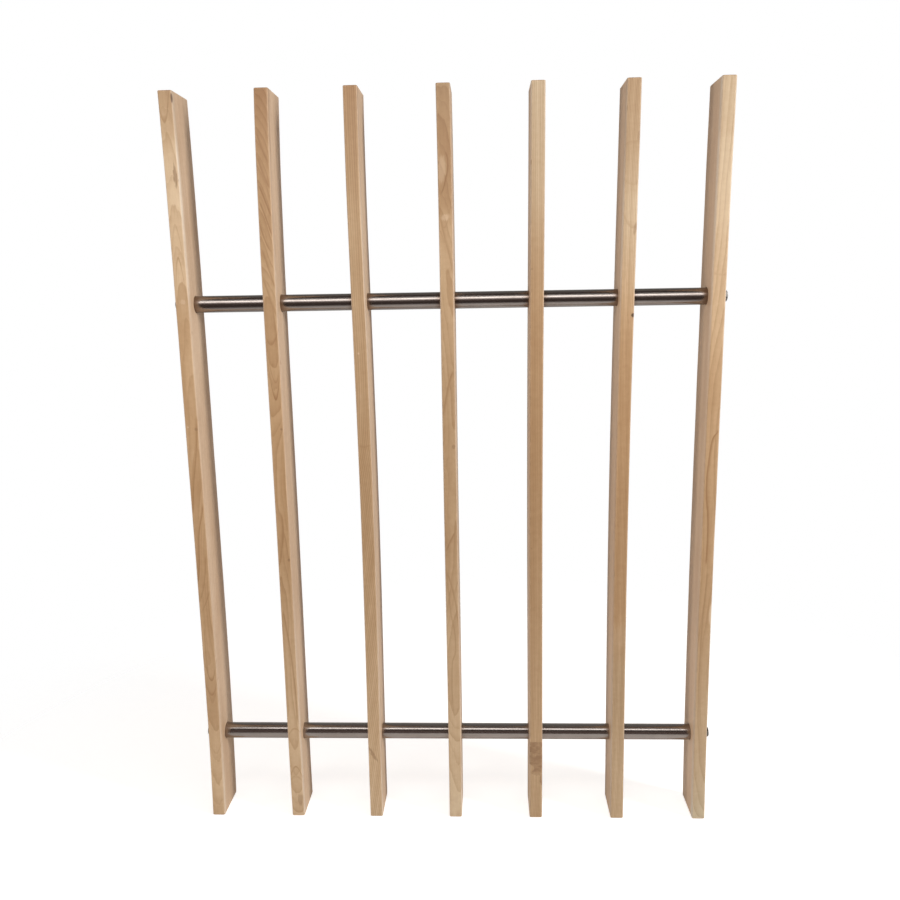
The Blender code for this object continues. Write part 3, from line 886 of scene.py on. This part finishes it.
def nut_mesh(name, height, turn):
    """Nut whose hexagon meets its turned chamfers in the usual curved edges."""
    rings = []
    for along, radius in nut_profile(height):
        ring = []
        for i in range(NUT_SIDES):
            angle = 2 * pi * i / NUT_SIDES
            reach = min(radius, hexagon_radius(angle))
            around = angle + radians(turn)
            ring.append((along, reach * cos(around), reach * sin(around)))
        rings.append(ring)
    return mesh_from_rings(name, rings, capped=False, sharp_degrees=28)


for bar in BARS:
    for end in ENDS:
        name = "%s_nut_%s" % (bar, end)
        turn = NUT_TURN["%s_%s" % (bar, end)]
        nut = show(name + "_body", nut_mesh(name + "_body", box_size(name).x, turn), box_centre(name))
        finish = steel("cold_formed_steel_" + name, 20 + turn, COLD_FORMED_STEEL, COLD_FORMED_STEEL_DULL,
                       roughness=0.26, stretch=(1, 0.2, 0.2), fineness=900.0, bump_strength=0.5)
        fit_piece(nut, name, finish)

# ---------------------------------------------------------------------------------------------
# STUDIO. A pale floor that melts into a white backdrop, a tall soft light on each side, the right
# one stronger, and three long lamps across the front that draw the bright lines along the tubes. A
# weak light behind, which the steel doesn't mirror, lifts the backs of the slats.

RACK_CENTRE = (cad_low + cad_high) / 2
UNDER_UPPER_BAR = Vector((0, 0, 0.70))
BETWEEN_BARS = Vector((0, 0, 0.60))
LIGHT_DISTANCE = 3.0
LAMP_WHITE = (1.0, 0.96, 0.93)
FLOOR_PALE = (0.86, 0.85, 0.84, 1)
FLOOR_SHADED = (0.80, 0.79, 0.78, 1)
FLOOR_RADIUS = 1.5
FLOOR_SIDES = 64
FLOOR_FADE = (0.38, 1.05)
FLOOR_GLOW = 0.12
FLOOR_GLOW_SEEN = 0.58
FLOOR_DROP = 0.4 * MM
FRONT_HAZE = 0.08


def studio_floor():
    """Round sheet of pale floor under the slats, fading out before its rim."""
    shape = bmesh.new()
    bmesh.ops.create_circle(shape, cap_ends=True, radius=FLOOR_RADIUS, segments=FLOOR_SIDES)
    mesh = bpy.data.meshes.new("studio_floor")
    shape.to_mesh(mesh)
    shape.free()
    floor = show("studio_floor", mesh, Vector((0, 0, cad_low.z - FLOOR_DROP)))
    material = bpy.data.materials.new("pale_floor")
    material.use_nodes = True
    tree = material.node_tree
    shader = tree.nodes["Principled BSDF"]
    place = add_node(tree, "TexCoord").outputs["Object"]
    away = add_node(tree, "VectorMath", place, settings={"operation": "LENGTH"}).outputs[1]
    cloud = cloudy(tree, place, 3, 3)
    tree.links.new(tint(tree, cloud, FLOOR_PALE, FLOOR_SHADED), shader.inputs["Base Color"])
    tree.links.new(fade(tree, away, FLOOR_FADE[1], FLOOR_FADE[0]), shader.inputs["Alpha"])
    shader.inputs["Roughness"].default_value = 0.8
    shader.inputs["Emission Color"].default_value = (1, 1, 1, 1)
    seen = add_node(tree, "LightPath").outputs["Is Camera Ray"]
    glow = calc(tree, "MULTIPLY_ADD", seen, FLOOR_GLOW_SEEN, FLOOR_GLOW)
    tree.links.new(glow, shader.inputs["Emission Strength"])
    mesh.materials.append(material)


def soft_light(name, place, aim, width, height, power, colour):
    """Rectangular light at place, facing aim. The camera doesn't see it."""
    lamp = bpy.data.lights.new(name, "AREA")
    lamp.shape = "RECTANGLE"
    lamp.size = width
    lamp.size_y = height
    lamp.energy = power
    lamp.color = colour
    light = bpy.data.objects.new(name, lamp)
    light.location = place
    light.rotation_euler = (aim - place).to_track_quat("-Z", "Y").to_euler()
    light.visible_camera = False
    bpy.context.scene.collection.objects.link(light)
    return light


def from_side(azimuth, elevation):
    """Place of a far light, at an angle round from the front of the rack, positive to the right, and up."""
    flat = LIGHT_DISTANCE * cos(radians(elevation))
    return RACK_CENTRE + Vector((flat * sin(radians(azimuth)), -flat * cos(radians(azimuth)),
                                 LIGHT_DISTANCE * sin(radians(elevation))))


def studio_world():
    """White to the camera; to everything else a soft surround, dim in front but for a low haze."""
    world = bpy.data.worlds.new("studio")
    bpy.context.scene.world = world
    world.use_nodes = True
    tree = world.node_tree
    backdrop = tree.nodes["Background"]
    backdrop.inputs["Color"].default_value = (1, 1, 1, 1)
    surround = tree.nodes.new("ShaderNodeBackground")
    direction = add_node(tree, "TexCoord").outputs["Generated"]
    _, forward, up = add_node(tree, "SeparateXYZ", direction).outputs
    behind = fade(tree, forward, -0.5, 0.45)
    level = calc(tree, "MULTIPLY_ADD", behind, 0.34, 0.07)
    level = calc(tree, "MULTIPLY", level, fade(tree, up, 0.15, 0.85, 1.0, 0.5))
    haze = calc(tree, "MULTIPLY", fade(tree, up, -0.20, 0.02), fade(tree, up, 0.55, 0.40))
    haze = calc(tree, "MULTIPLY", haze, calc(tree, "SUBTRACT", 1.0, behind))
    level = calc(tree, "MULTIPLY_ADD", haze, FRONT_HAZE, level)
    warm = tint(tree, behind, (1.0, 0.74, 0.66, 1), (1.0, 0.97, 0.93, 1))
    tree.links.new(warm, surround.inputs["Color"])
    tree.links.new(level, surround.inputs["Strength"])
    seen = add_node(tree, "LightPath").outputs["Is Camera Ray"]
    mixed = add_node(tree, "MixShader", seen, surround.outputs[0], backdrop.outputs[0])
    tree.links.new(mixed.outputs[0], tree.nodes["World Output"].inputs["Surface"])


studio_floor()
studio_world()
soft_light("right_light", from_side(67, 17), RACK_CENTRE, width=0.5, height=1.5, power=68,
           colour=(1.0, 0.98, 0.96))
soft_light("left_light", from_side(-67, -4), RACK_CENTRE, width=0.6, height=1.0, power=30,
           colour=(1.0, 0.93, 0.86))
soft_light("front_lamp", Vector((0, -0.66, 1.17)), BETWEEN_BARS, width=1.28, height=0.24, power=3.0,
           colour=(1.0, 0.965, 0.94))
soft_light("low_lamp", Vector((0, -0.72, 0.98)), UNDER_UPPER_BAR, width=1.5, height=0.14, power=0.60,
           colour=LAMP_WHITE)
soft_light("high_lamp", Vector((0, -0.45, 1.35)), UNDER_UPPER_BAR, width=1.5, height=0.14, power=0.40,
           colour=LAMP_WHITE)
back_fill = soft_light("back_fill", from_side(180, 8), RACK_CENTRE, width=1.6, height=1.2, power=16,
                       colour=(1.0, 0.96, 0.92))
back_fill.visible_glossy = False

# ---------------------------------------------------------------------------------------------
# CAMERA. It stands level with the upper bar, a little to the right and about 1.1 m in front, and
# looks slightly down.

CAMERA_PLACE = (0.0475, -1.1484, 0.7574)
CAMERA_TURN = (79.047, 0.980, 2.223)
CAMERA_LENS = 34.36
CAMERA_SENSOR = 36

camera_data = bpy.data.cameras.new("camera")
camera_data.sensor_width = CAMERA_SENSOR
camera_data.lens = CAMERA_LENS
camera = bpy.data.objects.new("camera", camera_data)
camera.location = CAMERA_PLACE
camera.rotation_euler = [radians(angle) for angle in CAMERA_TURN]
bpy.context.scene.collection.objects.link(camera)
bpy.context.scene.camera = camera
bpy.context.scene.view_settings.view_transform = "Standard"
